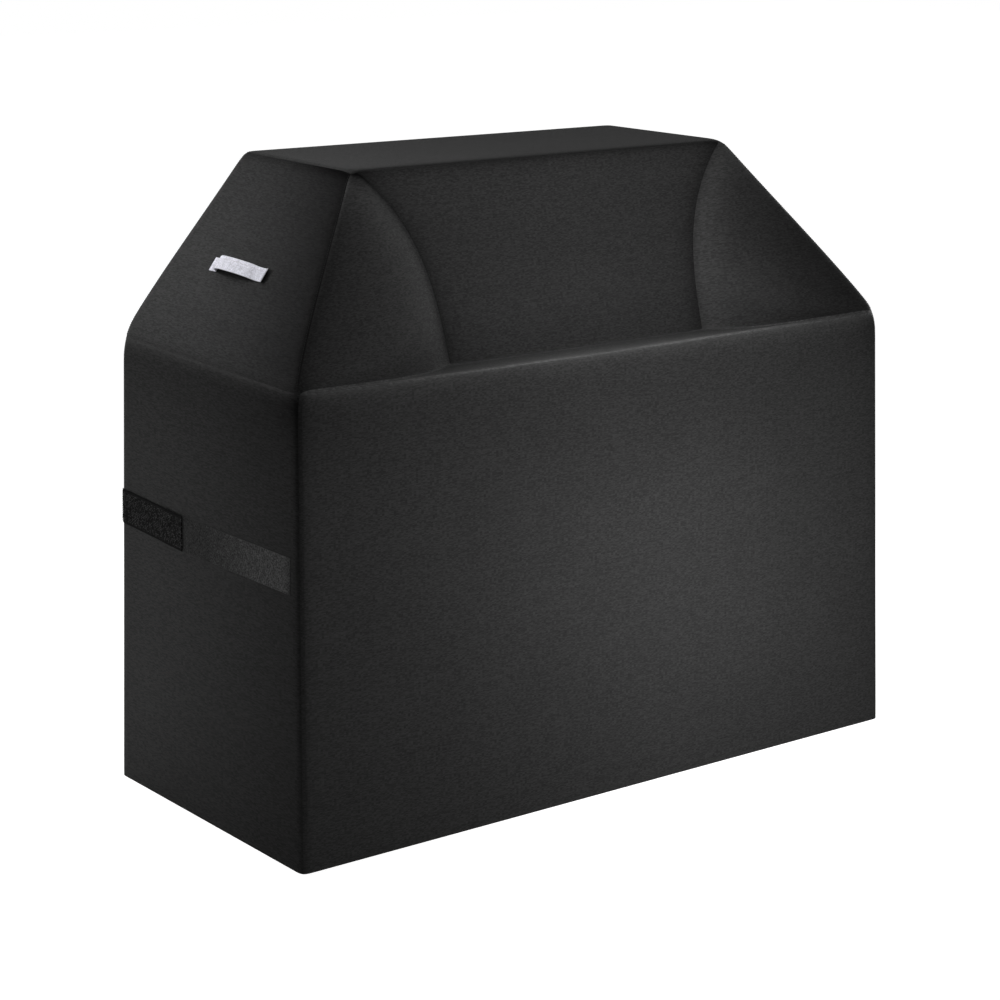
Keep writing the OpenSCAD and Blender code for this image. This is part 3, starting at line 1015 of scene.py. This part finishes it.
def strap(side, hook, loop, thread):
    """The hook strap with its sewn root, lying over the end of the sewn loop strip. Points are
    (y, height over the cloth), and flat and over are the tape's middle on the cloth and on
    the strip."""
    panel = f"{side}_side_panel"
    level = STRAP_ROOT[2]
    up = sided(side, WALL_UP)
    tip_y, back_y = low("left_hook_strap")[1], high("left_hook_strap")[1]
    root_y, root_end = low("left_strap_root")[1], high("left_strap_root")[1]
    loop_y, loop_end = low("left_loop_strip")[1], high("left_loop_strip")[1]
    flat = STRAP_THICKNESS / 2 + CLEARANCE
    over = LOOP_HEIGHT + flat
    lying = [(back_y + 0.0008, flat + 0.0005), (back_y - 0.014, flat), (back_y - 0.035, flat),
             (loop_end + 0.020, flat), (loop_end + 0.004, over - 0.0004), (loop_end - 0.012, over),
             (tip_y + 0.020, over), (tip_y - 0.006, over + 0.0004)]
    path = on_panel(panel, smooth_line(lying[::-1], STRAP_POINTS), level, STRAP_TILT)[::-1]
    piece, length = band_piece(f"{side}_hook_strap_tape", path, up, STRAP_WIDTH,
                               STRAP_THICKNESS, hook, STRAP_SIDES)
    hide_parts(f"{side}_hook_strap")
    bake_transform(piece)

    root_level = level + STRAP_TILT * (root_y - tip_y)
    sewn_down = [(root_y, flat + 0.0005), (root_y + 0.006, flat), (root_end - 0.004, flat),
                 (root_end, flat)]
    path = on_panel(panel, smooth_line(sewn_down, ROOT_POINTS), root_level, STRAP_TILT)
    root, length = band_piece(f"{side}_strap_root_tape", path, up, STRAP_WIDTH,
                              STRAP_THICKNESS, hook, STRAP_SIDES)
    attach(root, "cover")
    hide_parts(f"{side}_strap_root")
    lines = []
    first, last = root_y + STITCH_MARGIN, root_end - ROOT_STITCH_END
    for line in box_and_cross(first, last, STRAP_WIDTH / 2 - STITCH_MARGIN):
        spots = [laid(panel, y, root_level + u * WALL_UP[2]) for y, u in line]
        lines.append((np.array([point + way * 2 * flat for point, way in spots]),
                      np.array([way for _, way in spots])))
    stitches(f"{side}_strap_stitching", lines, thread, STRAP_PITCH)

    rows = np.linspace(STRAP_WIDTH / 2, -STRAP_WIDTH / 2, LOOP_ROWS)
    cols = np.linspace(loop_end, loop_y, LOOP_COLS)
    down, along = np.arange(LOOP_ROWS), np.arange(LOOP_COLS)
    rim = np.minimum(np.minimum(down, down[::-1])[:, None], np.minimum(along, along[::-1])[None])
    pile = RNG.normal(0, 1, (LOOP_ROWS, LOOP_COLS))
    full = np.clip(PILE_EDGE + PILE_RISE * rim, 0, 1)
    rise = LOOP_HEIGHT * (full + PILE_UNEVENNESS * pile)
    spots = [[laid(panel, y, level + u * WALL_UP[2]) for y in cols] for u in rows]
    skin = np.array([[point for point, _ in row] for row in spots])
    facing = np.array([[way for _, way in row] for row in spots])
    outer = skin + facing * np.maximum(rise, 2 * LOOP_UNDERSIDE)[..., None]
    inner = skin + facing * LOOP_UNDERSIDE
    cloth = np.stack(np.broadcast_arrays(cols[None] - loop_y, rows[:, None], 0.0), axis=-1)
    if side == "right":
        outer, inner, cloth = outer[:, ::-1], inner[:, ::-1], cloth[:, ::-1]
    patch = cloth_sheet(f"{side}_loop_strip_tape", outer, inner, loop, cloth)
    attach(patch, "cover")
    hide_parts(f"{side}_loop_strip")
    length = float(loop_end - loop_y)


# -------- stitching on the cover

STITCH_INSET = 4  # how many lattice lines a row of stitching lies from its seam


def cover_stitching(thread):
    """A row of top stitching beside most seams, on one of the two panels that each joins."""
    rows = {
        "top_panel": ("first", "last", "left", "right"),
        "left_slope_panel": ("last", "left", "right"),
        "right_slope_panel": ("last", "left", "right"),
        "back_upper_panel": ("last",),
        "front_hood_panel": ("left", "right"),
        "front_lower_panel": ("left", "right"),
        "back_lower_panel": ("left", "right"),
    }
    for name, sides in rows.items():
        picked = [border(name, side, STITCH_INSET) for side in sides]
        lines = [(SURFACE[ids], FACING[ids]) for ids in picked]
        stitches(f"{name}_stitching", lines, thread, COVER_PITCH)


COVER = cover_material()
BLACK = thread_material("black_thread", BLACK_THREAD)
PALE = thread_material("pale_thread", PALE_THREAD)
WEBBING = webbing_material()
HOOK = hook_material()
LOOP = loop_material()
panels(COVER)
hems(COVER)
for hand in ("left", "right"):
    handle(hand, WEBBING, PALE)
    strap(hand, HOOK, LOOP, BLACK)
cover_stitching(BLACK)

# -------- camera, floor and light

LENS, SENSOR = 93.17, 36  # in millimetres
CAMERA_PLACE = (-3.0677, -4.0220, 1.7846)
CAMERA_TILT, CAMERA_TURN = 75.974, -37.055  # in degrees


def add_camera():
    data = bpy.data.cameras.new("camera")
    data.lens = LENS
    data.sensor_width = SENSOR
    camera = bpy.data.objects.new("camera", data)
    camera.location = CAMERA_PLACE
    camera.rotation_euler = (math.radians(CAMERA_TILT), 0, math.radians(CAMERA_TURN))
    bpy.context.scene.collection.objects.link(camera)
    bpy.context.scene.camera = camera


FLOOR_SIZE = 40
FLOOR_COLOUR = (0.65, 0.65, 0.65, 1)
WHITE = (1, 1, 1, 1)
FLOOR_GLOW, FLOOR_SEEN = 0.165, 0.81  # the floor is a light table
WORLD_LIGHT, WORLD_SEEN = 0.36, 1.0


def for_camera(tree, seen, other):
    """One value for what the camera sees directly, and another for what lights the cover."""
    path = tree.nodes.new("ShaderNodeLightPath")
    return remap(tree, path.outputs["Is Camera Ray"], 0, 1, other, seen)


def add_floor():
    bpy.ops.mesh.primitive_plane_add(size=FLOOR_SIZE)
    floor = bpy.context.object
    floor.name = "floor"
    material, tree, shader = nodes_of("floor")
    shader.inputs["Base Color"].default_value = FLOOR_COLOUR
    shader.inputs["Emission Color"].default_value = WHITE
    tree.links.new(for_camera(tree, FLOOR_SEEN, FLOOR_GLOW), shader.inputs["Emission Strength"])
    set_surface(shader, 0.9, 0.0)
    floor.data.materials.append(material)
    floor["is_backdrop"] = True


# Each light's place, what it faces, its width, its height and its power in watts.
LIGHTS = (
    ("front_glow", (0.30, -0.85, 0.42), (0.30, -0.30, 0.45), 0.30, 0.30, 3.2),
    ("front_low", (0.35, -1.10, 0.20), (0.35, -0.30, 0.45), 0.50, 0.50, 1.7),
    ("front_left", (0.05, -0.93, 0.45), (0.05, -0.30, 0.42), 0.36, 0.36, 0.93),
    ("hood", (0.10, -0.75, 1.40), (0.10, -0.10, 1.08), 0.35, 0.35, 2.05),
    ("ledge", (0.12, -0.36, 0.99), (0.12, -0.27, 0.86), 0.70, 0.05, 0.33),
    ("right_gusset", (0.20, -0.62, 1.45), (0.48, -0.10, 1.17), 0.22, 0.22, 0.95),
    ("left_rim", (-1.00, 0.72, 1.50), (-0.66, 0.20, 0.94), 0.22, 0.50, 4.3),
    ("left_wall_rim", (-0.95, 0.55, 0.42), (-0.70, 0.15, 0.42), 0.12, 0.80, 0.42),
    ("top_left", (-0.60, 0.00, 1.80), (-0.38, 0.05, 1.22), 0.40, 0.40, 3.6),
    ("back", (-0.20, 1.90, 1.00), (0.00, 0.30, 0.60), 0.90, 0.90, 13),
    ("right", (1.90, 0.10, 1.00), (0.70, 0.00, 0.60), 0.90, 0.90, 9),
)


def add_lights():
    for name, place, target, width, height, power in LIGHTS:
        data = bpy.data.lights.new(name, "AREA")
        data.shape = "RECTANGLE"
        data.size = width
        data.size_y = height
        data.energy = power
        light = bpy.data.objects.new(name, data)
        light.location = place
        way = Vector(target) - Vector(place)
        light.rotation_euler = way.to_track_quat("-Z", "Y").to_euler()
        light.visible_camera = False
        bpy.context.scene.collection.objects.link(light)


def add_world():
    world = bpy.data.worlds.new("world")
    world.use_nodes = True
    background = world.node_tree.nodes["Background"]
    background.inputs["Color"].default_value = WHITE
    strength = for_camera(world.node_tree, WORLD_SEEN, WORLD_LIGHT)
    world.node_tree.links.new(strength, background.inputs["Strength"])
    bpy.context.scene.world = world
    bpy.context.scene.view_settings.view_transform = "Standard"


add_camera()
add_floor()
add_lights()
add_world()
